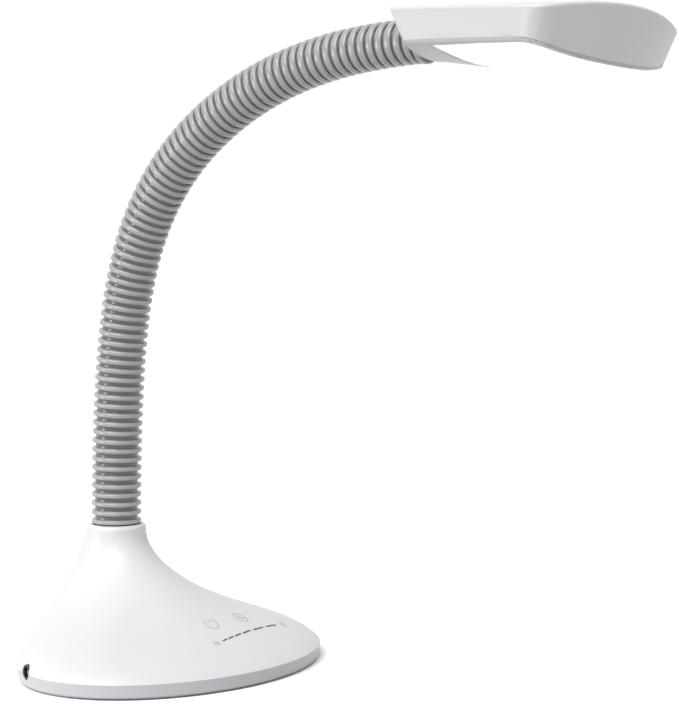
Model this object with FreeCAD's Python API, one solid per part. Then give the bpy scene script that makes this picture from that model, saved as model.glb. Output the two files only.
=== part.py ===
import FreeCAD, Part
import math
import os

from FreeCAD import Placement, Rotation, Vector

# Light therapy lamp: a heavy flared base, a ribbed gooseneck and a wide flat light head.
# Millimetres. +X is the front, +Z is up, the origin is the centre of the footprint.

# ---- base ----
base_length = 144.6         # front to back, at the seam
base_width = 191.8          # side to side, at the seam
pad_stand_off = 1.0         # how far the non-slip pad holds the tray off the table
pad_recess = 0.6
pad_inset = 9.0
seam_height = 8.5           # where the white shell meets the grey tray
collar_top = 76.1           # the shell's highest point, round the neck
collar_radius = 16.9
collar_rounding = 2.5
collar_step = 0.05          # the rounded top is this much inside the flare
neck_setback = 28.7         # from the base's rear edge to the neck's axis
shell_wall = 2.4
front_handles = (27.5, 14.7, 19.2)   # drop at the collar, rise and flat at the rim
rear_handles = (2.6, 45.0, -3.3)
side_handles = (44.9, 18.1, 4.9)
dome_sections = 11
oval_points = 24
tray_taper = 0.9            # the tray's wall leans in towards the table
tray_floor = 3.0
tray_edge = 1.0             # chamfer where the wall meets the floor
lip_height = 1.6            # the tray's lip inside the shell
lip_wall = 2.2
lip_gap = 0.35
fit_gap = 0.2               # between parts that locate each other
weight_inset = 17.0
weight_thickness = 8.0
post_x_share = 0.47         # the screw posts' place, as a share of the weight's half length
post_y_share = 0.77         # and of its half width
post_radius = 4.2
post_clearance = 0.8
screw_radius = 1.5
pilot_radius = 1.25
screw_head_radius = 3.0
screw_head_height = 1.4
screw_seat = 2.2            # how deep the heads sit in the tray
screw_length = 12.0

# ---- power inlet ----
jack_bearing = -110.0       # the way that the inlet faces, from +X
jack_height = 9.3
jack_barrel_radius = 4.0
jack_hole_radius = 3.15
jack_hole_depth = 9.5
jack_pin_radius = 1.0
jack_pin_recess = 1.0
jack_body = (13.0, 10.0, 10.0)   # length, width, height of the block behind the barrel
jack_barrel_length = 5.0
jack_recess = 0.6

# ---- electronics in the base ----
insulation = 1.0
driver_size = (46.0, 34.0, 1.6)
driver_x = -8.0
driver_y = -18.0
coil_radius = 6.0
coil_height = 7.0
capacitor_radius = 4.0
capacitor_height = 11.0
control_size = (22.0, 56.0, 1.6)
control_tilt = 25.0         # the control board lies under the front slope
control_bearing = 11.0      # and a little to the left, seen from the neck
control_reach = 78.0        # from the neck's axis to the board's middle
control_z = 17.4
control_boss_radius = 2.6
control_boss_inset = 3.5
touch_pad_radius = 5.0
touch_insulation = 0.5
touch_pad_spacing = 24.0
touch_strip = (5.0, 46.0)

# ---- neck ----
rib_pitch = 4.925
ribs_per_link = 8
sleeve_radius_low = 14.3    # over the ribs, at the base
sleeve_radius_high = 11.5   # over the ribs, at the head
valley_share = 0.855        # valley radius as a share of the rib radius
sleeve_wall = 1.0
rib_foot = 1.6              # half the rib's length at its foot
rib_crest = 0.9             # half the rib's length at its crest
link_gap = 1.9              # from a hinge to the nearest rib
hinge_drop = 0.8            # the first hinge lies this far below the collar's top
collar_gap = 3.1            # from it to the first rib
rest_leans = (0.0, 2.0, 4.6, 9.6, 20.8, 37.5, 53.1, 64.9, 75.2, 83.6, 89.0)
core_radius = 7.4
core_bore = 2.2
ball_radius = 6.6
ball_clearance = 0.3
cup_wall = 1.1
cup_depth = 3.2             # how far the cup reaches past the ball's centre
stem_radius = 4.2
shoulder_gap = 5.6          # from the ball's centre to the shoulder below it
land_length = 8.0           # the ring that carries the sleeve
land_gap = 0.1

# ---- neck seat in the collar ----
shelf_top = 53.0
shelf_thickness = 3.5
seat_radius = 13.0
anchor_thread_radius = 8.0
anchor_flange_thickness = 4.0
anchor_tail = 10.5
nut_across_flats = 24.0
nut_height = 6.0
bush_height = 4.0
bush_drop = 7.5

# ---- head ----
head_lean = 95.5            # from straight up: the head looks slightly down
head_roll = -1.5            # the neck's end is turned a little about its own axis
hinge_back = 8.0            # from the head's origin back to its hinge
rear_x = -0.5
rear_slope = 0.68           # the hood's rear edges run back as they rise
rear_half_width = 21.0
corner_x = 99.5
corner_half_width = 60.2
corner_rounding = 12.0
front_x = 111.5
front_slope = 0.2           # the front face overhangs
side_draft = 0.19
head_side_top = 14.8
head_side_bottom = -1.9
crown_rear = 1.5            # how far the roof rises between its sides
crown_front = 5.0
belly = (                   # lowest line of the underside, from behind the head to before it
    (-13.5, -10.4), (0.0, -9.9), (14.0, -9.7), (28.0, -10.4),
    (42.0, -10.7), (70.0, -9.4), (98.0, -7.7), (125.5, -6.4))
cover_wall = 1.5
cover_rounding = 1.5        # where the roof meets the walls
section_spread = 1.4        # cross-sections are drawn this much wider than the head
bezel_height = 1.4
rim_inset = 1.7
rim_wall = 1.4
rim_top = 2.0
lens_inset = 2.9
lens_front_inset = 2.9
lens_rear_corner_x = 22.5
lens_rear_middle_x = 34.5
lens_gap = 0.25
lens_step = 1.0             # the diffuser's flange rests on the bezel
lens_recess = 0.3
lens_thickness = 2.6
hood_gap = 0.6              # between the hood and the ribs
reflector_thickness = 0.5
board_thickness = 1.6
board_inset = 5.0
board_rear_x = 30.0
spreader_thickness = 1.5
led_rows = 5
led_columns = 7
led_spacing_x = 11.0
led_spacing_y = 13.0
led_first_x = 43.0
led_size = 2.8
led_height = 0.7
led_window = 2.3
cover_post_radius = 3.2
cover_posts = ((38.0, 20.0), (38.0, -20.0), (92.0, 40.0), (92.0, -40.0))
board_screw_length = 7.0
board_screw_head = (2.4, 1.2)
bracket_tube = 12.0
bracket_plate = (3.0, 28.0, 11.0)
bracket_rise = 1.5          # the plate's middle above the neck's axis
bracket_screw_y = 11.0
bulkhead = 2.0              # thickness of the cover's cross wall that carries the bracket
end_ribs = 2                # ribs between the last hinge and the hood
cut_margin = 1.0            # how far a cutter runs past the face it opens

# ---- worked out from the above ----
neck_x = neck_setback - base_length / 2
post_x = post_x_share * (base_length / 2 - weight_inset)
post_y = post_y_share * (base_width / 2 - weight_inset)
tray_bottom = pad_stand_off
flare_top = collar_top - collar_rounding
floor_top = tray_bottom + tray_floor
weight_top = floor_top + weight_thickness
link_length = rib_pitch * ribs_per_link
link_count = len(rest_leans) - 1
first_hinge_z = collar_top - hinge_drop
neck_length = link_length * link_count
head_hinge_lean = math.radians(head_lean)
hood_bore = sleeve_radius_high + hood_gap
cup_radius = ball_radius + ball_clearance + cup_wall
far = 2 * front_x           # cutters this long pass right through the head


def save(shape, name):
    shape.exportStep("parts/" + name + ".step")


def turned(shape, angle, axis=Vector(0, 0, 1)):
    return shape.transformed(Placement(Vector(), Rotation(axis, angle)).toMatrix())


def moved(shape, x=0.0, y=0.0, z=0.0):
    return shape.transformed(Placement(Vector(x, y, z), Rotation()).toMatrix())


def cylinder(radius, height, x=0.0, y=0.0, z=0.0):
    return Part.makeCylinder(radius, height, Vector(x, y, z))


def centred_box(size, x, y, z):
    return Part.makeBox(size[0], size[1], size[2], Vector(x - size[0] / 2, y - size[1] / 2, z))


def union(shapes):
    result = shapes[0].multiFuse(shapes[1:])
    return result.removeSplitter()


# ---------------------------------------------------------------- base shell

def flare(rim_reach, handles):
    drop, rise, flat = handles
    curve = Part.BezierCurve()
    curve.setPoles([
        Vector(collar_radius, 0, flare_top),
        Vector(collar_radius, 0, flare_top - drop),
        Vector(rim_reach - flat, 0, seam_height + rise),
        Vector(rim_reach, 0, seam_height),
    ])
    return curve


def reach(curve, height):
    low, high = 0.0, 1.0
    for _ in range(40):
        middle = (low + high) / 2
        if curve.value(middle).z > height:
            low = middle
        else:
            high = middle
    return curve.value((low + high) / 2).x


front_flare = flare(base_length / 2 - neck_x, front_handles)
rear_flare = flare(base_length / 2 + neck_x, rear_handles)
side_flare = flare(base_width / 2, side_handles)


def oval(half_x, half_y, centre_x, height):
    points = []
    for i in range(oval_points):
        angle = 2 * math.pi * i / oval_points
        points.append(Vector(centre_x + half_x * math.cos(angle), half_y * math.sin(angle), height))
    curve = Part.BSplineCurve()
    curve.interpolate(points, PeriodicFlag=True)
    return Part.Wire([curve.toShape()])


def dome_section(height, inset):
    level = min(height + inset, flare_top)
    front = neck_x + reach(front_flare, level) - inset
    rear = neck_x - reach(rear_flare, level) + inset
    side = reach(side_flare, level) - inset
    return oval((front - rear) / 2, side, (front + rear) / 2, height)


def dome(bottom, top, inset):
    step = (top - bottom) / (dome_sections - 1)
    wires = [dome_section(bottom + step * i, inset) for i in range(dome_sections)]
    return Part.makeLoft(wires, True, False)


def jack_place(shape):
    bearing = math.radians(jack_bearing)
    a, b = base_length / 2, base_width / 2
    span = math.hypot(a * math.cos(bearing), b * math.sin(bearing))
    x = a * a * math.cos(bearing) / span
    y = b * b * math.sin(bearing) / span
    return moved(turned(shape, jack_bearing), x, y, jack_height)


def along_x(radius, start, end):
    return Part.makeCylinder(radius, end - start, Vector(start, 0, 0), Vector(1, 0, 0))


def jack_cutter(gap):
    barrel = along_x(jack_barrel_radius + gap, -jack_barrel_length, jack_body[0])
    back = jack_body[0] + gap
    block = Part.makeBox(
        back, jack_body[1] + 2 * gap, jack_body[2] + 2 * gap,
        Vector(-jack_barrel_length - back, -jack_body[1] / 2 - gap, -jack_body[2] / 2 - gap))
    return jack_place(barrel.fuse(block))


def post_spots():
    return [(sx * post_x, sy * post_y) for sx in (1, -1) for sy in (1, -1)]


def control_place(shape):
    leaned = moved(turned(shape, control_tilt, Vector(0, 1, 0)), control_reach)
    return moved(turned(leaned, control_bearing), neck_x, 0, control_z)


def control_bosses(fill):
    half_x = control_size[0] / 2 - control_boss_inset
    half_y = control_size[1] / 2 - control_boss_inset
    posts = []
    for sx in (1, -1):
        for sy in (1, -1):
            post = cylinder(control_boss_radius, collar_top, sx * half_x, sy * half_y, control_size[2])
            posts.append(control_place(post).common(fill))
    return posts


def collar():
    radius = collar_radius - collar_step
    height = 2 * collar_rounding
    top = cylinder(radius, height, neck_x, 0, collar_top - height)
    edge = [e for e in top.Edges if e.BoundBox.ZMin > collar_top - 0.01]
    return top.makeFillet(collar_rounding, edge)


def base_shell():
    outer = dome(seam_height, flare_top, 0.0).fuse(collar())
    cavity_top = shelf_top - shelf_thickness
    shell = outer.cut(dome(seam_height - cut_margin, cavity_top, shell_wall))
    shell = shell.cut(jack_cutter(fit_gap))
    shell = shell.cut(cylinder(seat_radius, collar_top, neck_x, 0, shelf_top))
    shell = shell.cut(cylinder(anchor_thread_radius + fit_gap, collar_top, neck_x, 0, cavity_top - cut_margin))
    fill = dome(floor_top, cavity_top, shell_wall / 2)
    posts = [cylinder(post_radius, collar_top, x, y, floor_top).common(fill) for x, y in post_spots()]
    shell = union([shell] + posts + control_bosses(fill))
    for x, y in post_spots():
        shell = shell.cut(cylinder(pilot_radius, screw_length, x, y, floor_top - cut_margin))
    return shell


# ---------------------------------------------------------------- base tray

def base_tray():
    a, b = base_length / 2, base_width / 2
    low = tray_bottom + tray_edge
    wall = Part.makeLoft([
        oval(a - tray_taper - tray_edge, b - tray_taper - tray_edge, 0, tray_bottom),
        oval(a - tray_taper, b - tray_taper, 0, low),
        oval(a, b, 0, seam_height),
    ], True, True)
    heights = (floor_top, seam_height - shell_wall, seam_height, seam_height + lip_height)
    lip_inset = shell_wall + lip_gap
    lip = Part.makeLoft([dome_section(z, lip_inset) for z in heights], True, True)
    tops = heights[:-1] + (heights[-1] + cut_margin,)
    inner = Part.makeLoft([dome_section(z, lip_inset + lip_wall) for z in tops], True, True)
    tray = wall.fuse(lip).cut(inner)
    for x, y in post_spots():
        tray = tray.cut(cylinder(screw_radius + fit_gap, tray_floor + 2 * cut_margin, x, y, tray_bottom - cut_margin))
        tray = tray.cut(cylinder(screw_head_radius + fit_gap, screw_seat, x, y, tray_bottom))
    tray = tray.cut(pad_plate(tray_bottom - cut_margin, tray_bottom + pad_recess, 0.0))
    return tray.cut(jack_cutter(fit_gap)).removeSplitter()


def pad_plate(low, high, inset):
    a = base_length / 2 - pad_inset - inset
    b = base_width / 2 - pad_inset - inset
    return Part.makeLoft([oval(a, b, 0, low), oval(a, b, 0, high)], True, True)


def non_slip_pad():
    return pad_plate(0.0, tray_bottom + pad_recess, fit_gap)


def base_weight():
    a = base_length / 2 - weight_inset
    b = base_width / 2 - weight_inset
    plate = Part.makeLoft([oval(a, b, 0, floor_top), oval(a, b, 0, weight_top)], True, True)
    for x, y in post_spots():
        plate = plate.cut(cylinder(post_radius + post_clearance, weight_thickness + 2 * cut_margin, x, y,
                                   floor_top - cut_margin))
    return plate.cut(jack_cutter(post_clearance))


def screw(head_radius, head_height, radius, length):
    head = cylinder(head_radius, head_height)
    shank = cylinder(radius, length + head_height)
    slot = centred_box((head_radius * 1.3, 0.8, head_height / 2), 0, 0, 0)
    cross = turned(slot, 90)
    return head.fuse(shank).cut(slot).cut(cross)


def base_screws():
    screws = []
    for x, y in post_spots():
        one = screw(screw_head_radius, screw_head_height, pilot_radius, screw_length - 2.0)
        screws.append(moved(one, x, y, tray_bottom + screw_seat - screw_head_height))
    return Part.makeCompound(screws)


# ---------------------------------------------------------------- power inlet and boards

def dc_jack():
    barrel = along_x(jack_barrel_radius, -jack_barrel_length - 0.5, -jack_recess)
    block = Part.makeBox(
        jack_body[0], jack_body[1], jack_body[2],
        Vector(-jack_barrel_length - jack_body[0], -jack_body[1] / 2, -jack_body[2] / 2))
    hole = along_x(jack_hole_radius, -jack_recess - jack_hole_depth, cut_margin)
    seat = along_x(jack_pin_radius, -jack_recess - jack_hole_depth - 3.0, 0)
    return jack_place(barrel.fuse(block).cut(hole).cut(seat))


def jack_pin():
    tip = -jack_recess - jack_pin_recess
    pin = along_x(jack_pin_radius, -jack_recess - jack_hole_depth - 3.0, tip)
    edge = [e for e in pin.Edges if e.BoundBox.XMin > tip - 0.01]
    return jack_place(pin.makeFillet(0.4, edge))


def insulating_pad():
    return centred_box((driver_size[0] + 4, driver_size[1] + 4, insulation), driver_x, driver_y, weight_top)


def driver_board():
    base = weight_top + insulation
    board = centred_box(driver_size, driver_x, driver_y, base)
    top = base + driver_size[2]
    coil = cylinder(coil_radius, coil_height, driver_x - 12, driver_y + 4, top)
    coil = coil.cut(cylinder(coil_radius / 3, coil_height, driver_x - 12, driver_y + 4, top))
    can = cylinder(capacitor_radius, capacitor_height, driver_x + 4, driver_y + 8, top)
    chip = centred_box((8.0, 6.0, 1.8), driver_x + 6, driver_y - 7, top)
    plug = centred_box((7.0, 10.0, 6.0), driver_x + 17, driver_y + 4, top)
    return union([board, coil, can, chip, plug])


def control_board():
    board = Part.makeBox(control_size[0], control_size[1], control_size[2],
                         Vector(-control_size[0] / 2, -control_size[1] / 2, 0))
    chip = centred_box((6.0, 6.0, 1.2), 2.0, 8.0, -1.2)
    plug = centred_box((6.0, 9.0, 5.0), -8.0, -10.0, -5.0)
    return control_place(union([board, chip, plug]))


def touch_pads():
    pads = []
    for side in (1, -1):
        pads.append(cylinder(touch_pad_radius, touch_insulation, -4.0, side * touch_pad_spacing / 2, control_size[2]))
    pads.append(centred_box((touch_strip[0], touch_strip[1] - 16.0, touch_insulation), 7.0, 0, control_size[2]))
    return control_place(Part.makeCompound(pads))


# ---------------------------------------------------------------- neck

def arc_step(lean, rate, run):
    if abs(rate) < 1e-9:
        return Vector(run * math.sin(lean), 0, run * math.cos(lean))
    end = lean + rate * run
    return Vector((math.cos(lean) - math.cos(end)) / rate, 0, (math.sin(end) - math.sin(lean)) / rate)


def hinge_points():
    points = [Vector(neck_x, 0, first_hinge_z)]
    for i in range(link_count):
        lean = math.radians(rest_leans[i])
        rate = math.radians(rest_leans[i + 1] - rest_leans[i]) / link_length
        points.append(points[-1] + arc_step(lean, rate, link_length))
    return points


hinges = hinge_points()


def link_station(link, run):
    """Centre and lean of the neck at a run along one link; straight on past its ends."""
    lean = math.radians(rest_leans[link])
    rate = math.radians(rest_leans[link + 1] - rest_leans[link]) / link_length
    inside = max(0.0, min(run, link_length))
    centre = hinges[link] + arc_step(lean, rate, inside)
    lean += rate * inside
    return centre + arc_step(lean, 0.0, run - inside), lean


def head_station(run):
    """The same for the neck's end inside the head, which is straight."""
    return hinges[-1] + arc_step(head_hinge_lean, 0.0, run), head_hinge_lean


def rib_radius(distance):
    share = distance / neck_length
    return sleeve_radius_low + (sleeve_radius_high - sleeve_radius_low) * share ** 2


def ring(station, radius):
    centre, lean = station
    circle = Part.Circle(Vector(), Vector(0, 0, 1), radius).toShape()
    circle.Placement = Placement(centre, Rotation(Vector(0, 1, 0), math.degrees(lean)))
    return Part.Wire([circle])


def ribbed_sleeve(station, start, ribs, first_gap, last_gap):
    """Ribs along one stretch of the neck. station(run) places a ring."""
    length = ribs * rib_pitch
    rings = []
    for i in range(ribs):
        middle = (i + 0.5) * rib_pitch
        radius = rib_radius(start + middle)
        valley = radius * valley_share
        flank = rib_foot - rib_crest
        foot_in = max(middle - rib_foot, first_gap)
        crest_in = max(middle - rib_crest, foot_in + flank)
        foot_out = min(middle + rib_foot, length - last_gap)
        crest_out = min(middle + rib_crest, foot_out - flank)
        for run, size in ((foot_in, valley), (crest_in, radius), (crest_out, radius), (foot_out, valley)):
            rings.append(ring(station(run), size))
    outer = Part.makeLoft(rings, True, True)
    steps = 2 * ribs + 1
    bore = []
    for i in range(steps):
        run = -cut_margin + (length + 2 * cut_margin) * i / (steps - 1)
        radius = rib_radius(start + run) * valley_share - sleeve_wall
        bore.append(ring(station(run), radius))
    return outer.cut(Part.makeLoft(bore, True, True))


def ball_joint_cup(station, length):
    """A cup round the ball at run 0 and a plain tube as far as length."""
    return Part.makeLoft([ring(station(run), cup_radius) for run in (-cup_depth, 0.0, length)], True, True)


def socket_cutter(station):
    centre, _ = station(0.0)
    return Part.makeSphere(ball_radius + ball_clearance, centre)


def ball_and_stem(centre, lean, foot):
    ball = Part.makeSphere(ball_radius, centre)
    toward = Vector(math.sin(lean), 0, math.cos(lean))
    stem = Part.makeCylinder(stem_radius, foot, centre - toward * foot, toward)
    return ball.fuse(stem)


def core_link(link):
    def station(run):
        return link_station(link, run)
    shoulder = link_length - shoulder_gap
    runs = [cup_radius + (shoulder - cup_radius) * i / 4 for i in range(5)]
    body = Part.makeLoft([ring(station(run), core_radius) for run in [cup_radius - 1.5] + runs], True, True)
    middle = link_length / 2
    bore_radius = rib_radius(link * link_length + middle) * valley_share - sleeve_wall
    lands = [ring(station(middle + shift * land_length / 2), bore_radius - land_gap) for shift in (-1, 0, 1)]
    land = Part.makeLoft(lands, True, True)
    top, lean = station(link_length)
    solid = union([ball_joint_cup(station, cup_radius), body, land, ball_and_stem(top, lean, shoulder_gap + 1.0)])
    solid = solid.cut(socket_cutter(station))
    reach_out = ball_radius + cut_margin
    marks = [-reach_out + (link_length + 2 * reach_out) * i / 8 for i in range(9)]
    wire_way = Part.makeLoft([ring(station(run), core_bore) for run in marks], True, True)
    return solid.cut(wire_way)


def neck_anchor():
    """The neck's lower end: a threaded tail, a flange on the shelf and the first ball."""
    foot = shelf_top - shelf_thickness - anchor_tail
    shoulder = first_hinge_z - shoulder_gap
    tail = cylinder(anchor_thread_radius, shelf_top - foot, neck_x, 0, foot)
    flange = cylinder(seat_radius - fit_gap, anchor_flange_thickness, neck_x, 0, shelf_top)
    body = cylinder(core_radius, shoulder - shelf_top, neck_x, 0, shelf_top)
    solid = union([tail, flange, body, ball_and_stem(hinges[0], 0.0, shoulder_gap + 1.0)])
    return solid.cut(cylinder(core_bore, collar_top, neck_x, 0, foot - cut_margin))


def anchor_nut():
    radius = nut_across_flats / math.sqrt(3)
    corners = [Vector(radius * math.cos(math.radians(60 * i)), radius * math.sin(math.radians(60 * i)), 0)
               for i in range(7)]
    nut = Part.Face(Part.makePolygon(corners)).extrude(Vector(0, 0, nut_height))
    nut = nut.cut(cylinder(anchor_thread_radius, nut_height))
    return moved(nut, neck_x, 0, shelf_top - shelf_thickness - nut_height)


def collar_bush():
    low = collar_top - bush_drop - bush_height
    bush = cylinder(seat_radius - fit_gap / 2, bush_height, neck_x, 0, low)
    return bush.cut(cylinder(core_radius + fit_gap / 2, bush_height, neck_x, 0, low))


# ---------------------------------------------------------------- head

def head_place(shape):
    direction = Vector(math.sin(head_hinge_lean), 0, math.cos(head_hinge_lean))
    origin = hinges[-1] + direction * hinge_back
    level = turned(shape, head_roll, Vector(1, 0, 0))
    return level.transformed(Placement(origin, Rotation(Vector(0, 1, 0), head_lean - 90.0)).toMatrix())


def side_half_width(x):
    share = (x - rear_x) / (corner_x - rear_x)
    return rear_half_width + (corner_half_width - rear_half_width) * share


def front_circle(middle, corner, half):
    rise = middle - corner
    radius = (half * half + rise * rise) / (2 * rise)
    return middle - radius, radius


def plan_wire(height, inset):
    """The head's outline from above at one height, drawn inset from its walls."""
    side_slope = (corner_half_width - rear_half_width) / (corner_x - rear_x)
    sideways = inset * math.sqrt(1 + side_slope ** 2) - side_draft * height
    rear = rear_x - rear_slope * height + inset
    corner = corner_x + front_slope * height - inset
    middle = front_x + front_slope * height - inset
    half = side_half_width(corner) - sideways
    centre, radius = front_circle(middle, corner, half)
    back = corner - corner_rounding * 0.9
    side_y = side_half_width(back) - sideways
    front_y = half - corner_rounding * 0.9
    front_px = centre + math.sqrt(radius ** 2 - front_y ** 2)
    rear_y = side_half_width(rear) - sideways

    def point(x, y):
        return Vector(x, y, height)

    def rounded(a, b, c):
        curve = Part.BezierCurve()
        curve.setPoles([a, b, c])
        return curve.toShape()

    edges = [
        Part.makeLine(point(rear, -rear_y), point(back, -side_y)),
        rounded(point(back, -side_y), point(corner, -half), point(front_px, -front_y)),
        Part.Arc(point(front_px, -front_y), point(middle, 0), point(front_px, front_y)).toShape(),
        rounded(point(front_px, front_y), point(corner, half), point(back, side_y)),
        Part.makeLine(point(back, side_y), point(rear, rear_y)),
        Part.makeLine(point(rear, rear_y), point(rear, -rear_y)),
    ]
    return Part.Wire(edges)


def belly_mid(x):
    for (x0, z0), (x1, z1) in zip(belly, belly[1:]):
        if x <= x1:
            break
    return z0 + (z1 - z0) * (x - x0) / (x1 - x0)


def crown_mid(x):
    share = (x - rear_x) / (front_x - rear_x)
    return head_side_top + crown_rear + (crown_front - crown_rear) * share


def cross_section(x, low, high):
    """low and high are (edge, middle) heights of the bottom and top arcs at the side walls."""
    half = side_half_width(x) * section_spread
    low_edge = low[1] + (low[0] - low[1]) * section_spread ** 2
    high_edge = high[1] + (high[0] - high[1]) * section_spread ** 2
    edges = [
        Part.Arc(Vector(x, -half, low_edge), Vector(x, 0, low[1]), Vector(x, half, low_edge)).toShape(),
        Part.makeLine(Vector(x, half, low_edge), Vector(x, half, high_edge)),
        Part.Arc(Vector(x, half, high_edge), Vector(x, 0, high[1]), Vector(x, -half, high_edge)).toShape(),
        Part.makeLine(Vector(x, -half, high_edge), Vector(x, -half, low_edge)),
    ]
    return Part.Wire(edges)


def under(x, raised):
    return head_side_bottom + raised, belly_mid(x) + raised


def roof(x, lowered):
    return head_side_top - lowered, crown_mid(x) - lowered


def plan_block(inset):
    return Part.makeLoft([plan_wire(-2 * head_side_top, inset), plan_wire(2 * head_side_top, inset)], True, True)


def layer(inset, low, high):
    """A slice of the head between two surfaces, each given as a function of x."""
    sections = [cross_section(x, low(x), high(x)) for x, _ in belly]
    body = Part.makeLoft(sections, True, False)
    return plan_block(inset).common(body)


def lens_outline(grow, height):
    slope = (corner_half_width - rear_half_width) / (corner_x - rear_x)
    inset = (lens_inset - grow) * math.sqrt(1 + slope ** 2)
    front_inset = lens_front_inset - grow
    corner = corner_x - front_inset
    middle = front_x - front_inset
    half = side_half_width(corner) - inset
    centre, radius = front_circle(middle, corner, half)
    back = corner - corner_rounding * 0.8
    side_y = side_half_width(back) - inset
    front_y = half - corner_rounding * 0.8
    front_px = centre + math.sqrt(radius ** 2 - front_y ** 2)
    rear = lens_rear_corner_x - grow
    rear_y = side_half_width(rear) - inset
    rear_mid = lens_rear_middle_x - grow

    def point(x, y):
        return Vector(x, y, height)

    def rounded(a, b, c):
        curve = Part.BezierCurve()
        curve.setPoles([a, b, c])
        return curve.toShape()

    edges = [
        Part.makeLine(point(rear, -rear_y), point(back, -side_y)),
        rounded(point(back, -side_y), point(corner, -half), point(front_px, -front_y)),
        Part.Arc(point(front_px, -front_y), point(middle, 0), point(front_px, front_y)).toShape(),
        rounded(point(front_px, front_y), point(corner, half), point(back, side_y)),
        Part.makeLine(point(back, side_y), point(rear, rear_y)),
        Part.Arc(point(rear, rear_y), point(rear_mid, 0), point(rear, -rear_y)).toShape(),
    ]
    return Part.Wire(edges)


def lens_prism(grow):
    return Part.Face(lens_outline(grow, -far / 2)).extrude(Vector(0, 0, far))


def neck_bore(radius, end):
    return Part.makeCylinder(radius, far + end, Vector(-far, 0, 0), Vector(1, 0, 0))


def board_level():
    return rim_top + reflector_thickness


def board_plate(bottom, thickness, inset):
    """A flat plate inside the head, cut off square behind board_rear_x."""
    face = Part.Face(plan_wire(0.0, inset))
    plate = face.extrude(Vector(0, 0, thickness))
    keep = Part.makeBox(far, far, far, Vector(board_rear_x, -far / 2, -far / 2))
    return moved(plate.common(keep), 0, 0, bottom)


def head_cover():
    outer = layer(0.0, lambda x: under(x, bezel_height), lambda x: roof(x, 0.0))
    top = max(outer.Faces, key=lambda face: face.CenterOfMass.z)
    outer = outer.makeFillet(cover_rounding, [edge for edge in top.Edges if edge.BoundBox.XMax > rear_x])
    inner = layer(cover_wall, lambda x: under(x, -bezel_height), lambda x: roof(x, cover_wall))
    shell = outer.cut(inner)
    shell = shell.cut(neck_bore(hood_bore, bracket_tube))
    thick, wide, tall = bracket_plate
    bottom = bracket_rise - tall / 2
    wall = Part.makeBox(bulkhead, wide + 2 * bulkhead, far, Vector(bracket_tube + thick, -wide / 2 - bulkhead, bottom))
    wall = wall.common(outer)
    top = board_level() + board_thickness + spreader_thickness
    posts = []
    for x, y in cover_posts:
        post = cylinder(cover_post_radius, far, x, y, top).common(outer)
        posts.append(post)
    shell = union([shell, wall] + posts)
    for x, y in cover_posts:
        shell = shell.cut(cylinder(pilot_radius, board_screw_length, x, y, top - cut_margin))
    for y in (bracket_screw_y, -bracket_screw_y, 0.0):
        shell = shell.cut(bracket_hole(pilot_radius if y else core_bore, y))
    return head_place(shell)


def bracket_hole(radius, y):
    start = Vector(bracket_tube - cut_margin, y, bracket_rise if y else 0.0)
    return Part.makeCylinder(radius, bracket_plate[0] + bulkhead + 2 * cut_margin, start, Vector(1, 0, 0))


def head_bezel():
    plate = layer(0.0, lambda x: under(x, 0.0), lambda x: under(x, bezel_height - 0.02))
    rim = layer(rim_inset, lambda x: under(x, bezel_height / 2), lambda x: roof(x, cover_wall))
    rim_end = lens_rear_corner_x - lens_step - fit_gap
    behind_lens = Part.makeBox(far, far, far, Vector(rim_end - far, -far / 2, rim_top - far))
    rim = rim.cut(plan_block(rim_inset + rim_wall)).common(behind_lens)
    bezel = union([plate, rim])
    bezel = bezel.cut(lens_prism(0.0))
    bezel = bezel.cut(neck_bore(hood_bore, end_ribs * rib_pitch - hinge_back + rim_wall))
    bezel = bezel.cut(neck_bore(cup_radius + fit_gap, bracket_tube))
    return head_place(bezel)


def diffuser():
    plug = layer(rim_inset, lambda x: under(x, lens_recess), lambda x: under(x, bezel_height + 0.02))
    plug = plug.common(lens_prism(-lens_gap))
    flange = layer(rim_inset, lambda x: under(x, bezel_height),
                   lambda x: under(x, lens_recess + lens_thickness))
    flange = flange.common(lens_prism(lens_step))
    return head_place(union([plug, flange]))


def led_spots():
    spots = []
    for row in range(led_rows):
        for column in range(led_columns):
            x = led_first_x + led_spacing_x * row
            y = led_spacing_y * (column - (led_columns - 1) / 2)
            if abs(y) < side_half_width(x) - board_inset - 6.0:
                spots.append((x, y))
    return spots


def reflector():
    sheet = board_plate(rim_top, reflector_thickness, board_inset - 2.0)
    holes = [cylinder(led_window, 2.0, x, y, rim_top - 0.5) for x, y in led_spots()]
    holes += [cylinder(pilot_radius + fit_gap, 2.0, x, y, rim_top - 0.5) for x, y in cover_posts]
    return head_place(sheet.cut(Part.makeCompound(holes)))


def led_board():
    board = board_plate(board_level(), board_thickness, board_inset)
    holes = [cylinder(pilot_radius + fit_gap, 4.0, x, y, board_level() - 1.0) for x, y in cover_posts]
    return head_place(board.cut(Part.makeCompound(holes)))


def leds():
    size = (led_size, led_size, led_height)
    chips = [centred_box(size, x, y, board_level() - led_height) for x, y in led_spots()]
    return head_place(Part.makeCompound(chips))


def heat_spreader():
    level = board_level() + board_thickness
    plate = board_plate(level, spreader_thickness, board_inset)
    holes = [cylinder(pilot_radius + fit_gap, 4.0, x, y, level - 1.0) for x, y in cover_posts]
    return head_place(plate.cut(Part.makeCompound(holes)))


def head_screws():
    screws = []
    one = screw(board_screw_head[0], board_screw_head[1], pilot_radius, board_screw_length)
    for x, y in cover_posts:
        screws.append(moved(one, x, y, rim_top - board_screw_head[1]))
    lying = turned(one, 90, Vector(0, 1, 0))
    for y in (bracket_screw_y, -bracket_screw_y):
        screws.append(moved(lying, bracket_tube - board_screw_head[1], y, bracket_rise))
    return head_place(Part.makeCompound(screws))


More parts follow.
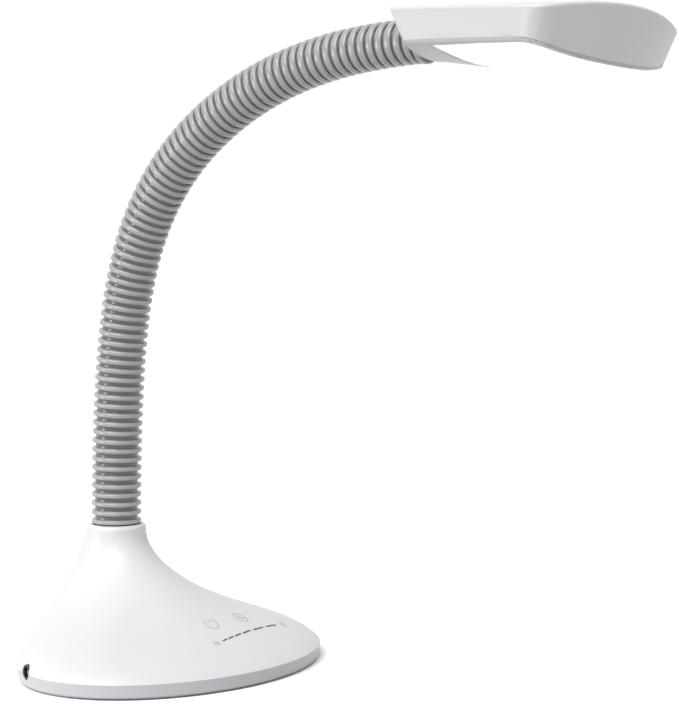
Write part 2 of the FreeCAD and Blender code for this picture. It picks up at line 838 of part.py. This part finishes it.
def head_bracket():
    """Holds the neck's last ball and bolts to the cover."""
    length = hinge_back + bracket_tube
    tube = ball_joint_cup(head_station, length)
    land_radius = rib_radius(neck_length) * valley_share - sleeve_wall - land_gap
    land = Part.makeLoft([ring(head_station(run), land_radius) for run in (3.5, 9.0)], True, True)
    solid = union([tube, land]).cut(socket_cutter(head_station))
    marks = (-cup_depth - cut_margin, length + cut_margin)
    solid = solid.cut(Part.makeLoft([ring(head_station(run), core_bore) for run in marks], True, True))
    thick, wide, tall = bracket_plate
    plate = head_place(Part.makeBox(thick, wide, tall, Vector(bracket_tube, -wide / 2, bracket_rise - tall / 2)))
    solid = solid.fuse(plate)
    for y in (bracket_screw_y, -bracket_screw_y, 0.0):
        solid = solid.cut(head_place(bracket_hole(pilot_radius if y else core_bore, y)))
    return solid.removeSplitter()


def sleeve_end():
    return ribbed_sleeve(head_station, neck_length, end_ribs, link_gap, link_gap)


os.makedirs("parts", exist_ok=True)

save(base_shell(), "base_shell")
save(base_tray(), "base_tray")
save(base_weight(), "base_weight")
save(non_slip_pad(), "non_slip_pad")
save(base_screws(), "base_screws")
save(dc_jack(), "dc_jack")
save(jack_pin(), "jack_pin")
save(insulating_pad(), "insulating_pad")
save(driver_board(), "driver_board")
save(control_board(), "control_board")
save(touch_pads(), "touch_pads")
save(neck_anchor(), "neck_anchor")
save(anchor_nut(), "anchor_nut")
save(collar_bush(), "collar_bush")

for link in range(link_count):
    start = link * link_length

    def station(run, link=link):
        return link_station(link, run)

    number = str(link + 1)
    first_gap = link_gap if link else collar_gap
    save(ribbed_sleeve(station, start, ribs_per_link, first_gap, link_gap), "neck_sleeve_" + number)
    save(core_link(link), "neck_core_" + number)

save(sleeve_end(), "sleeve_end")
save(head_bracket(), "head_bracket")
save(head_cover(), "head_cover")
save(head_bezel(), "head_bezel")
save(diffuser(), "diffuser")
save(reflector(), "reflector")
save(led_board(), "led_board")
save(leds(), "leds")
save(heat_spreader(), "heat_spreader")
save(head_screws(), "head_screws")
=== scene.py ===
import math

import bpy
from mathutils import Matrix, Vector


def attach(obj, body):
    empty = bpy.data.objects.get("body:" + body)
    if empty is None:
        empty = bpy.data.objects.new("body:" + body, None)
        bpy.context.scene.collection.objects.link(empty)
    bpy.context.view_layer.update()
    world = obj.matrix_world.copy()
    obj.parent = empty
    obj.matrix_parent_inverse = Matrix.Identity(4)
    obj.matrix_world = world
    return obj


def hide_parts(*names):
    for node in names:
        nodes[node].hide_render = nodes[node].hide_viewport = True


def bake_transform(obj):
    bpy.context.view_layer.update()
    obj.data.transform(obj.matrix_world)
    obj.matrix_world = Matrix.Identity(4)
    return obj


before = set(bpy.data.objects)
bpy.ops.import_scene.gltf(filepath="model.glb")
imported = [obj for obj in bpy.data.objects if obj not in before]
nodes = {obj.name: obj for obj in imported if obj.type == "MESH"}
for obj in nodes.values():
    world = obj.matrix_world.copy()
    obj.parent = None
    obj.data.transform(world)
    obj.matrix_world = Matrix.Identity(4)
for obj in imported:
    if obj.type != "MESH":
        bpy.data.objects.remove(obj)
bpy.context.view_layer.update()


# ---------------------------------------------------------------- base shell
# One injection moulding in white ABS, flared from the wide oval rim up to the
# collar that the neck stands in. The mould's fine spark texture leaves it satin.

class Wire:
    """One socket of a material, with arithmetic."""

    def __init__(self, paint, socket):
        self.paint = paint
        self.socket = socket

    def maths(self, operation, *values):
        return self.paint.node("ShaderNodeMath", {"operation": operation}, dict(enumerate(values)))

    def __add__(self, other):
        return self.maths("ADD", self, other)

    def __sub__(self, other):
        return self.maths("SUBTRACT", self, other)

    def __rsub__(self, other):
        return self.maths("SUBTRACT", other, self)

    def __mul__(self, other):
        return self.maths("MULTIPLY", self, other)

    __radd__ = __add__
    __rmul__ = __mul__


class Paint:
    """A material whose shader is a Principled BSDF."""

    def __init__(self, name, **finish):
        self.material = bpy.data.materials.new(name)
        self.material.use_nodes = True
        self.tree = self.material.node_tree
        self.shader = self.tree.nodes["Principled BSDF"]
        for socket, value in finish.items():
            self.put(self.shader.inputs[socket.replace("_", " ")], value)
        self.place = self.node("ShaderNodeTexCoord", {}, {}, "Object")

    def put(self, socket, value):
        if isinstance(value, Wire):
            self.tree.links.new(value.socket, socket)
        elif isinstance(value, tuple) and len(value) == 3 and socket.type == "RGBA":
            socket.default_value = (*value, 1.0)
        else:
            socket.default_value = value

    def node(self, kind, settings, inputs, output=0):
        made = self.tree.nodes.new(kind)
        for name, value in settings.items():
            setattr(made, name, value)
        for name, value in inputs.items():
            self.put(made.inputs[name], value)
        return Wire(self, made.outputs[output])

    def noise(self, scale, detail=3.0):
        inputs = {"Vector": self.place, "Scale": scale, "Detail": detail}
        return self.node("ShaderNodeTexNoise", {}, inputs)

    def mix(self, factor, first, second):
        made = self.tree.nodes.new("ShaderNodeMix")
        made.data_type = "RGBA"
        self.put(made.inputs[0], factor)
        self.put(made.inputs[6], first)
        self.put(made.inputs[7], second)
        return Wire(self, made.outputs[2])

    def use(self, **links):
        for name, value in links.items():
            self.put(self.shader.inputs[name.replace("_", " ")], value)

    def bump(self, height, strength, distance):
        inputs = {"Height": height, "Strength": strength, "Distance": distance}
        self.use(Normal=self.node("ShaderNodeBump", {}, inputs))


def moulded_plastic(name, colour, darker, roughness):
    """Moulded plastic: even colour with a faint flow, fine spark texture."""
    paint = Paint(name)
    flow = paint.noise(14.0, 2.0)
    paint.use(Base_Color=paint.mix(flow, colour, darker))
    paint.use(Roughness=roughness + (paint.noise(90.0) - 0.5) * 0.08)
    paint.bump(paint.noise(2600.0, 2.0), 0.05, 0.0004)
    return paint.material


def coat(node, material):
    nodes[node].data.materials.clear()
    nodes[node].data.materials.append(material)


def nothing_selected():
    bpy.ops.object.select_all(action="DESELECT")


def only(piece):
    nothing_selected()
    piece.select_set(True)
    bpy.context.view_layer.objects.active = piece


def dressed_copy(node, name, material, body, sharp=32.0):
    """A node's own form with its vertices joined, so that its curves shade smoothly."""
    piece = nodes[node].copy()
    piece.data = nodes[node].data.copy()
    piece.name = name
    piece.parent = None
    for key in list(piece.keys()):
        del piece[key]
    bpy.context.scene.collection.objects.link(piece)
    only(piece)
    bpy.ops.object.mode_set(mode="EDIT")
    bpy.ops.mesh.select_all(action="SELECT")
    bpy.ops.mesh.remove_doubles(threshold=0.000002)
    bpy.ops.object.mode_set(mode="OBJECT")
    bpy.ops.object.shade_smooth_by_angle(angle=math.radians(sharp))
    even = piece.modifiers.new("even shading", "WEIGHTED_NORMAL")
    even.keep_sharp = True
    bpy.ops.object.modifier_apply(modifier=even.name)
    piece.data.materials.clear()
    piece.data.materials.append(material)
    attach(piece, body)
    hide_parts(node)
    return piece


white_shell = moulded_plastic("satin white ABS", (0.86, 0.86, 0.87), (0.82, 0.82, 0.83), 0.36)
shell = dressed_copy("base_shell", "base_shell_moulding", white_shell, "base")

# ---------------------------------------------------------------- control print
# Grey marks pad-printed over the touch controls: a switch sign, a clock and six
# dashes between a small and a large sun. The thin ink follows the dome.

neck_foot = Vector((-0.0436, 0.0, 0.0753))
print_bearing = math.radians(11.0)      # the row is set a little to one side of the front
above_shell = 0.1
ink_lift = 0.00008


def ring(out, across, radius, line, opening=0.0):
    """A printed circle; the opening, in degrees, faces the neck."""
    place = (out, across, 0)
    bpy.ops.mesh.primitive_circle_add(vertices=72, radius=radius, fill_type="NGON", location=place)
    mark = bpy.context.object
    bpy.ops.object.mode_set(mode="EDIT")
    bpy.ops.mesh.inset(thickness=line)
    bpy.ops.mesh.delete(type="FACE")
    bpy.ops.mesh.select_all(action="DESELECT")
    bpy.ops.object.mode_set(mode="OBJECT")
    for face in mark.data.polygons:
        turn = math.degrees(math.atan2(face.center.y, -face.center.x))
        face.select = abs(turn) < opening / 2
    bpy.ops.object.mode_set(mode="EDIT")
    bpy.ops.mesh.delete(type="FACE")
    bpy.ops.object.mode_set(mode="OBJECT")
    return mark


def bar(out, across, length, line, turn=90.0):
    """A printed dash; a turn of 90 degrees sets it along the front."""
    place, tilt = (out, across, 0), (0, 0, math.radians(turn))
    bpy.ops.mesh.primitive_plane_add(size=1.0, location=place, rotation=tilt)
    mark = bpy.context.object
    mark.scale = (length, line, 1.0)
    bpy.ops.object.mode_set(mode="EDIT")
    bpy.ops.mesh.subdivide(number_cuts=8)
    bpy.ops.object.mode_set(mode="OBJECT")
    return mark


def sun(out, across, radius, line):
    """A printed circle with eight rays."""
    rays = [ring(out, across, radius * 0.45, line)]
    middle = radius * 0.82
    for turn in range(0, 360, 45):
        angle = math.radians(turn)
        ray_out, ray_across = out + middle * math.cos(angle), across + middle * math.sin(angle)
        rays.append(bar(ray_out, ray_across, radius * 0.36, line, turn))
    return rays


def printed(marks, name, light, dark):
    """Joins the marks, sets them out from the neck's foot and lays them on the shell."""
    nothing_selected()
    for mark in marks:
        mark.select_set(True)
    bpy.context.view_layer.objects.active = marks[0]
    bpy.ops.object.transform_apply()
    bpy.ops.object.join()
    ink = bpy.context.object
    ink.name = name
    ink.rotation_euler.z = print_bearing
    ink.location = (neck_foot.x, neck_foot.y, above_shell)
    bpy.ops.object.transform_apply()
    wrap = ink.modifiers.new("lay", "SHRINKWRAP")
    wrap.target = shell
    wrap.wrap_method = "PROJECT"
    wrap.use_project_z = True
    wrap.use_positive_direction = False
    wrap.use_negative_direction = True
    wrap.offset = ink_lift
    bpy.ops.object.modifier_apply(modifier="lay")
    paint = Paint(name, Roughness=0.45)
    paint.use(Base_Color=paint.mix(paint.noise(400.0, 4.0), light, dark))
    ink.data.materials.append(paint.material)
    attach(ink, "base")


dash_row = [        # out from the neck, across, length
    (0.0874, -0.025, 0.0044),
    (0.0879, -0.0196, 0.005),
    (0.0884, -0.013, 0.006),
    (0.0888, -0.0045, 0.0078),
    (0.0893, 0.0072, 0.0104),
    (0.0894, 0.0213, 0.0112),
]
dashes = [bar(out, across, length, 0.0008 + length * 0.04) for out, across, length in dash_row]
printed(dashes, "brightness_dashes", (0.09, 0.09, 0.095), (0.14, 0.14, 0.145))

switch_sign = [ring(0.0746, -0.0182, 0.0042, 0.0004, 70.0), bar(0.0718, -0.0182, 0.0036, 0.0004, 0.0)]
clock_face = [ring(0.0777, 0.0078, 0.0042, 0.0004)]
clock_hands = [bar(0.0773, 0.0074, 0.0028, 0.0005, 0.0), bar(0.0786, 0.0088, 0.0032, 0.0005)]
suns = sun(0.0867, -0.0322, 0.0022, 0.0003) + sun(0.0897, 0.0342, 0.003, 0.0003)
signs = switch_sign + clock_face + clock_hands + suns
printed(signs, "control_signs", (0.3, 0.3, 0.31), (0.36, 0.36, 0.37))

# ---------------------------------------------------------------- base tray
# The light grey tray closes the base from below. Its wall is the grey band
# between the white shell and the table, moulded in the same ABS.

tray_plastic = moulded_plastic("light grey ABS", (0.76, 0.755, 0.79), (0.73, 0.725, 0.76), 0.42)
dressed_copy("base_tray", "base_tray_moulding", tray_plastic, "base", 20.0)

# ---------------------------------------------------------------- non-slip pad
# A die-cut sheet of black foam rubber, glued into the recess under the tray.

foam = Paint("foam rubber", Roughness=0.9)
foam.use(Base_Color=foam.mix(foam.noise(500.0), (0.03, 0.03, 0.03), (0.06, 0.06, 0.06)))
foam.bump(foam.noise(1400.0, 4.0), 0.5, 0.0003)
coat("non_slip_pad", foam.material)

# ---------------------------------------------------------------- base weight
# An oval slab cut from hot-rolled plate that keeps the lamp from tipping.

plate = Paint("hot-rolled plate", Metallic=0.9)
scale = plate.noise(60.0, 6.0)
plate.use(Base_Color=plate.mix(scale, (0.09, 0.085, 0.09), (0.2, 0.19, 0.19)))
plate.use(Roughness=0.5 + scale * 0.3)
plate.bump(scale, 0.3, 0.0005)
coat("base_weight", plate.material)

# ---------------------------------------------------------------- steel fittings
# Zinc-plated screws and nut, and the drawn steel of the gooseneck itself.

zinc = Paint("zinc plating", Metallic=1.0)
zinc.use(Base_Color=zinc.mix(zinc.noise(300.0), (0.62, 0.62, 0.6), (0.5, 0.51, 0.52)))
zinc.use(Roughness=0.28 + zinc.noise(700.0) * 0.2)
for node in ("base_screws", "anchor_nut", "head_screws"):
    coat(node, zinc.material)

drawn = Paint("drawn steel", Metallic=1.0)
drawn.use(Base_Color=drawn.mix(drawn.noise(180.0), (0.34, 0.34, 0.35), (0.46, 0.46, 0.47)))
drawn.use(Roughness=0.34 + drawn.noise(900.0) * 0.18)
for node in nodes:
    if node.startswith("neck_core") or node in ("neck_anchor", "head_bracket"):
        coat(node, drawn.material)

# ---------------------------------------------------------------- power inlet
# A black DC jack in the side of the base, with its nickel-plated centre pin.

nylon = Paint("black nylon", Roughness=0.4)
nylon.use(Base_Color=nylon.mix(nylon.noise(200.0), (0.012, 0.012, 0.012), (0.03, 0.03, 0.03)))
nylon.bump(nylon.noise(2000.0), 0.1, 0.0002)
coat("dc_jack", nylon.material)

contact = Paint("plated contact", Metallic=1.0, Roughness=0.22)
contact.use(Base_Color=contact.mix(contact.noise(400.0), (0.72, 0.6, 0.34), (0.62, 0.5, 0.27)))
coat("jack_pin", contact.material)
coat("touch_pads", contact.material)

# ---------------------------------------------------------------- circuit boards
# Green-lacquered boards in the base, on a card insulator, and a white-lacquered
# aluminium board with its LEDs in the head.

def lacquer(name, colour, darker):
    paint = Paint(name, Roughness=0.3)
    inputs = {"Vector": paint.place, "Scale": 160.0}
    tracks = paint.node("ShaderNodeTexVoronoi", {"distance": "MANHATTAN"}, inputs)
    paint.use(Base_Color=paint.mix(tracks, colour, darker))
    paint.bump(tracks, 0.2, 0.0001)
    return paint.material


coat("driver_board", lacquer("green solder resist", (0.02, 0.16, 0.06), (0.03, 0.24, 0.1)))
coat("control_board", nodes["driver_board"].data.materials[0])
coat("led_board", lacquer("white solder resist", (0.85, 0.85, 0.82), (0.78, 0.78, 0.75)))
coat("insulating_pad", moulded_plastic("insulating card", (0.6, 0.55, 0.4), (0.52, 0.47, 0.34), 0.7))
coat("collar_bush", moulded_plastic("grey nylon", (0.3, 0.3, 0.31), (0.26, 0.26, 0.27), 0.45))
coat("reflector", moulded_plastic("white reflector film", (0.92, 0.92, 0.92), (0.88, 0.88, 0.88), 0.5))

rolled = Paint("rolled aluminium", Metallic=1.0)
rolled.use(Base_Color=rolled.mix(rolled.noise(120.0), (0.75, 0.76, 0.78), (0.66, 0.67, 0.69)))
rolled.use(Roughness=0.3 + rolled.noise(600.0) * 0.15)
coat("heat_spreader", rolled.material)

phosphor = Paint("LED phosphor", Roughness=0.25, Emission_Strength=1.5)
glow = phosphor.mix(phosphor.noise(800.0), (1.0, 0.97, 0.88), (1.0, 0.93, 0.75))
phosphor.use(Base_Color=glow, Emission_Color=glow)
coat("leds", phosphor.material)

# ---------------------------------------------------------------- ribbed sleeve
# One rubber moulding drawn over the gooseneck: flat-topped ribs with a valley
# between them, set wider towards the head. Each length is bent along the
# neck's centre line.

rib_pitch = 0.0051
head_rib_pitch = 0.00567
ribs_to_head = 74.5
link_length = 0.0394
leans = [0.0, 2.0, 4.6, 9.6, 20.8, 37.5, 53.1, 64.9, 75.2, 83.6, 89.0]
head_lean = 95.5
sleeve_radius = 0.0143
head_sleeve_radius = 0.0115
valley_share = 0.855
sleeve_wall = 0.001
rib_half = 0.00135
rib_widening = 0.42         # how much wider the last rib is than the first
groove_shading = 0.75       # how far the last groove's painted shade climbs its ribs
end_stretch = 0.0147        # the straight stretches before the first hinge and after the last
bend_reach = 0.013          # how far to each side of a hinge the rubber bends
foot_reach = 0.022          # the same above the collar, where nothing bends below the hinge
neck_sides = 72


def hinge_points():
    points = [neck_foot]
    for first, last in zip(leans, leans[1:]):
        a, b = math.radians(first), math.radians(last)
        rate = (b - a) / link_length
        step = Vector((math.cos(a) - math.cos(b), 0.0, math.sin(b) - math.sin(a))) / rate
        points.append(points[-1] + step)
    return points


def heading(lean):
    angle = math.radians(lean)
    return Vector((math.sin(angle), 0.0, math.cos(angle)))


hinges = hinge_points()


def neck_path():
    """The neck's centre line, one knot at each hinge and one at each end."""
    bpy.ops.curve.primitive_bezier_curve_add()
    path = bpy.context.object
    path.name = "neck_path"
    line = path.data
    line.dimensions = "3D"
    line.resolution_u = 32
    line.twist_mode = "Z_UP"
    knots = line.splines[0].bezier_points
    knots.add(len(hinges) + 2 - len(knots))
    foot, tip = hinges[0] - heading(leans[0]) * end_stretch, hinges[-1] + heading(head_lean) * end_stretch
    places = [foot, *hinges, tip]
    ways = [leans[0], *leans, head_lean]
    runs = [end_stretch] + [link_length] * (len(hinges) - 1) + [end_stretch]
    for i, (knot, place, way) in enumerate(zip(knots, places, ways)):
        before = runs[max(i - 1, 0)] / 3
        after = runs[min(i, len(runs) - 1)] / 3
        knot.handle_left_type = knot.handle_right_type = "FREE"
        knot.co = place
        knot.handle_left = place - heading(way) * before
        knot.handle_right = place + heading(way) * after
    return path


def rib_profile():
    """Radius and run of one rib and its valley, from the middle of one valley to the next."""
    valley = sleeve_radius * valley_share
    rise = sleeve_radius - valley
    rings = [(valley, 0.0), (valley, rib_pitch / 2 - rib_half - 0.0002)]
    for i in range(13):
        angle = math.pi * i / 12
        along = math.copysign(abs(math.cos(angle)) ** 0.7, math.cos(angle))
        out = math.sin(angle) ** 0.7
        rings.append((valley + rise * (0.04 + 0.96 * out), rib_pitch / 2 - rib_half * along))
    rings.append((valley, rib_pitch / 2 + rib_half + 0.0002))
    return rings


def straight_sleeve(ribs):
    """Ribs stacked along Z from z = 0, a closed tube with its bore."""
    rings = rib_profile()
    radius, height = rings[0]
    bpy.ops.mesh.primitive_circle_add(vertices=neck_sides, radius=radius, location=(0, 0, height))
    stack = bpy.context.object
    bpy.ops.object.mode_set(mode="EDIT")
    steps = rings[1:] + [(rings[0][0], rib_pitch)]
    for next_radius, next_height in steps:
        bpy.ops.mesh.extrude_region_move(TRANSFORM_OT_translate={"value": (0, 0, next_height - height)})
        grow = next_radius / radius
        if abs(grow - 1.0) > 1e-6:
            bpy.ops.transform.resize(value=(grow, grow, 1.0), center_override=(0, 0, next_height))
        radius, height = next_radius, next_height
    bpy.ops.object.mode_set(mode="OBJECT")
    array = stack.modifiers.new("ribs", "ARRAY")
    array.count = ribs
    array.use_relative_offset = False
    array.use_constant_offset = True
    array.constant_offset_displace = (0, 0, rib_pitch)
    array.use_merge_vertices = True
    array.merge_threshold = 0.00001
    bpy.ops.object.modifier_apply(modifier="ribs")
    bpy.ops.object.mode_set(mode="EDIT")
    bpy.ops.mesh.select_all(action="SELECT")
    bpy.ops.mesh.normals_make_consistent(inside=False)
    bpy.ops.object.mode_set(mode="OBJECT")
    wall = stack.modifiers.new("wall", "SOLIDIFY")
    wall.thickness = sleeve_wall
    wall.offset = -1.0
    bpy.ops.object.modifier_apply(modifier="wall")
    return stack


def mark_groove_shade(length, first_rib):
    """Stores how far each vertex stands out of its groove, as the mask of the grooves' painted shade,
    which climbs further up the ribs towards the head.
    """
    valley = sleeve_radius * valley_share
    groove_shade_mask = length.data.attributes.new("groove_shade_mask", "FLOAT", "POINT")
    for vertex, mark in zip(length.data.vertices, groove_shade_mask.data):
        shaded = groove_shading * (first_rib + vertex.co.z / rib_pitch) / ribs_to_head
        mark.value = (vertex.co.xy.length - valley) / (sleeve_radius - valley) * (1.0 - shaded)


def run_of(rib):
    """How far up the neck a rib of that number sits."""
    return rib_pitch * rib + (head_rib_pitch - rib_pitch) * rib ** 3 / (3 * ribs_to_head ** 2)


def slim(length, first_rib):
    """Sets the ribs out along the neck, narrower in radius and longer towards the head."""
    half = rib_half / rib_pitch
    for vertex in length.data.vertices:
        rib = first_rib + vertex.co.z / rib_pitch
        number = math.floor(rib + 0.0001)
        turn = rib - number - 0.5
        wide = half * (1.0 + rib_widening * rib / ribs_to_head)
        if abs(turn) < half:
            turn *= wide / half
        else:
            turn = math.copysign(wide + (abs(turn) - half) * (0.5 - wide) / (0.5 - half), turn)
        rib = number + 0.5 + turn
        size = 1.0 + (head_sleeve_radius / sleeve_radius - 1.0) * (rib / ribs_to_head) ** 2
        vertex.co.x *= size
        vertex.co.y *= size
        vertex.co.z = run_of(rib) + end_stretch


rubber = Paint("grey silicone rubber", Specular_IOR_Level=0.9)
cloud = rubber.noise(45.0, 4.0)
groove_shade_mask = rubber.node("ShaderNodeAttribute", {"attribute_name": "groove_shade_mask"}, {}, "Fac")
worn = rubber.mix(cloud, (0.39, 0.39, 0.41), (0.44, 0.44, 0.46))
# The grooves' dark grey is painted shade; the ribs keep the lighter grey.
rubber.use(Base_Color=rubber.mix(groove_shade_mask * 5.0, (0.11, 0.11, 0.12), worn))
rubber.use(Roughness=0.18 + rubber.noise(260.0) * 0.1)
rubber.bump(rubber.noise(1500.0, 3.0), 0.12, 0.0003)

path = neck_path()
bodies = ["base"] + [f"link_{i + 1}" for i in range(len(leans) - 1)] + ["head"]
first_rib = 0
for i, hinge in enumerate(hinges):
    last_rib = first_rib
    while run_of(last_rib) < (i + 0.5) * link_length - rib_pitch / 2 and i < len(hinges) - 1:
        last_rib += 1
    if i == len(hinges) - 1:
        last_rib += 5
    nothing_selected()
    length = straight_sleeve(last_rib - first_rib)
    length.name = f"sleeve_length_{i + 1}"
    mark_groove_shade(length, first_rib)
    slim(length, first_rib)
    first_rib = last_rib
    bend = length.modifiers.new("bend", "CURVE")
    bend.object = path
    bend.deform_axis = "POS_Z"
    bpy.ops.object.modifier_apply(modifier="bend")
    bpy.ops.object.transform_apply()
    bpy.ops.object.shade_smooth_by_angle(angle=math.radians(50.0))
    length.data.materials.append(rubber.material)
    reach = heading(leans[i]) * bend_reach
    start, end = hinge - reach, hinge + reach
    if i == 0:
        start, end = hinge, hinge + heading(leans[0]) * foot_reach
    first, second = bodies[i], bodies[i + 1]
    if second == "link_4":
        # Chosen by trial: this order stayed whole with all joints at their limits, and the
        # other one tore there. It promises nothing for other poses, and nothing below reads it.
        first, second, start, end = second, first, end, start
    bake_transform(length)
    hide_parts("sleeve_end" if i == len(hinges) - 1 else f"neck_sleeve_{i + 1}")
bpy.data.objects.remove(path)

# ---------------------------------------------------------------- head
# A shallow white cover over a bezel whose pale grey is painted shade, with the opal
# diffuser set in the bezel. The front face leans forward and carries no print.

head_length = 0.1115
rear_half_width = 0.041
side_flare = 0.0192         # how much further out each side is at the front
flat_share = 0.4            # the rear part that isn't bowed
rear_draw = 0.0023          # how far the rear edge is drawn back over the neck
pitch = Matrix.Rotation(math.radians(head_lean - 90.0), 4, "Y")
roll = Matrix.Rotation(math.radians(-1.5), 4, "X")
level = Matrix.Translation(hinges[-1] + heading(head_lean) * 0.008) @ (pitch @ roll)


def bowed(piece):
    """Bows the head's front above and below and draws its rear edge back over the neck."""
    for vertex in piece.data.vertices:
        place = level.inverted() @ vertex.co
        along = min(max(place.x / head_length, 0.0), 1.0)
        across = place.y / (rear_half_width + side_flare * along)
        middle = max(1.0 - across ** 2, 0.0)
        front = min(max((along - flat_share) / (1.0 - flat_share), 0.0), 1.0)
        front = front * front * (3.0 - 2.0 * front)
        upper = min(max((place.z + 0.002) / 0.017, 0.0), 1.0)
        top = front * (0.0019 * middle - 0.0011)
        bottom = front * (0.0006 - 0.0028 * middle) + (1.0 - front) * 0.0008 * (1.0 - middle)
        place.z += top * upper + bottom * (1.0 - upper)
        place.x -= rear_draw * (1.0 - along)
        vertex.co = level @ place
    return piece


bowed(dressed_copy("head_cover", "head_cover_moulding", white_shell, "head", 24.0))

# The bezel's pale grey is painted shade, for the shade under the head.
bezel_shade_plastic = moulded_plastic("bezel ABS in painted shade grey", (0.6, 0.6, 0.61), (0.56, 0.56, 0.57), 0.4)
bowed(dressed_copy("head_bezel", "head_bezel_moulding", bezel_shade_plastic, "head", 24.0))

opal = Paint("opal acrylic", Roughness=0.35, Emission_Strength=0.55)
haze = opal.mix(opal.noise(20.0, 1.0), (0.98, 0.985, 1.0), (0.95, 0.96, 0.98))
opal.use(Base_Color=haze, Emission_Color=haze)
bowed(dressed_copy("diffuser", "opal_diffuser", opal.material, "head", 24.0))

# ---------------------------------------------------------------- floor, light and camera
# A white sweep under an even white sky, with one broad soft light from the left.

bpy.ops.mesh.primitive_plane_add(size=40.0, location=(0, 0, 0))
floor = bpy.context.object
floor.name = "floor"
paper = Paint("white paper")
paper.tree.nodes.remove(paper.shader)
ray = paper.tree.nodes.new("ShaderNodeLightPath").outputs
seen = ("Is Camera Ray", "Is Glossy Ray", "Is Transmission Ray")
direct = Wire(paper, ray[seen[0]]) + Wire(paper, ray[seen[1]]) + Wire(paper, ray[seen[2]])
shade = paper.mix(direct, (0.52, 0.52, 0.52), (1.5, 1.5, 1.5))
diffuse = paper.node("ShaderNodeBsdfDiffuse", {}, {"Color": shade})
paper.tree.links.new(diffuse.socket, paper.tree.nodes["Material Output"].inputs["Surface"])
floor.data.materials.append(paper.material)

world = bpy.data.worlds.new("studio")
bpy.context.scene.world = world
world.use_nodes = True
tree = world.node_tree
sky = tree.nodes["Background"]
sky.inputs["Color"].default_value = (1.0, 1.0, 1.0, 1.0)
ray = tree.nodes.new("ShaderNodeLightPath").outputs
backdrop = tree.nodes.new("ShaderNodeMath")
backdrop.operation = "MAXIMUM"
tree.links.new(ray[seen[0]], backdrop.inputs[0])
backdrop_more = tree.nodes.new("ShaderNodeMath")
backdrop_more.operation = "MAXIMUM"
tree.links.new(ray[seen[1]], backdrop_more.inputs[0])
tree.links.new(ray[seen[2]], backdrop_more.inputs[1])
tree.links.new(backdrop_more.outputs[0], backdrop.inputs[1])
strength = tree.nodes.new("ShaderNodeMapRange")
strength.inputs["To Min"].default_value = 0.35
strength.inputs["To Max"].default_value = 1.0
tree.links.new(backdrop.outputs[0], strength.inputs["Value"])
tree.links.new(strength.outputs[0], sky.inputs["Strength"])

key = bpy.data.lights.new("key", "SUN")
key.energy = 2.2
key.angle = math.radians(50.0)
key_holder = bpy.data.objects.new("key", key)
bpy.context.scene.collection.objects.link(key_holder)
key_holder.rotation_euler = Vector((-0.1, 0.62, -0.78)).to_track_quat("-Z", "Y").to_euler()

strip = bpy.data.lights.new("strip", "AREA")
strip.shape = "RECTANGLE"
strip.size = 0.3
strip.size_y = 0.5
strip.energy = 3.2
strip_holder = bpy.data.objects.new("strip", strip)
bpy.context.scene.collection.objects.link(strip_holder)
strip_holder.location = (-0.81, -1.05, 0.24)
strip_holder.rotation_euler = Vector((0.77, 1.05, 0.0)).to_track_quat("-Z", "Y").to_euler()

camera_data = bpy.data.cameras.new("camera")
camera_data.lens = 100.8
camera_data.sensor_width = 36.0
camera = bpy.data.objects.new("camera", camera_data)
bpy.context.scene.collection.objects.link(camera)
camera.location = (0.7621, -0.7926, 0.2418)
bearing, dip = math.radians(39.0), math.radians(3.5)
flat = Vector((-math.sin(bearing), math.cos(bearing), 0.0)) * math.cos(dip)
look = flat - Vector((0.0, 0.0, math.sin(dip)))
camera.rotation_mode = "QUATERNION"
camera.rotation_quaternion = look.to_track_quat("-Z", "Y")
bpy.context.scene.camera = camera
bpy.context.scene.view_settings.view_transform = "Standard"
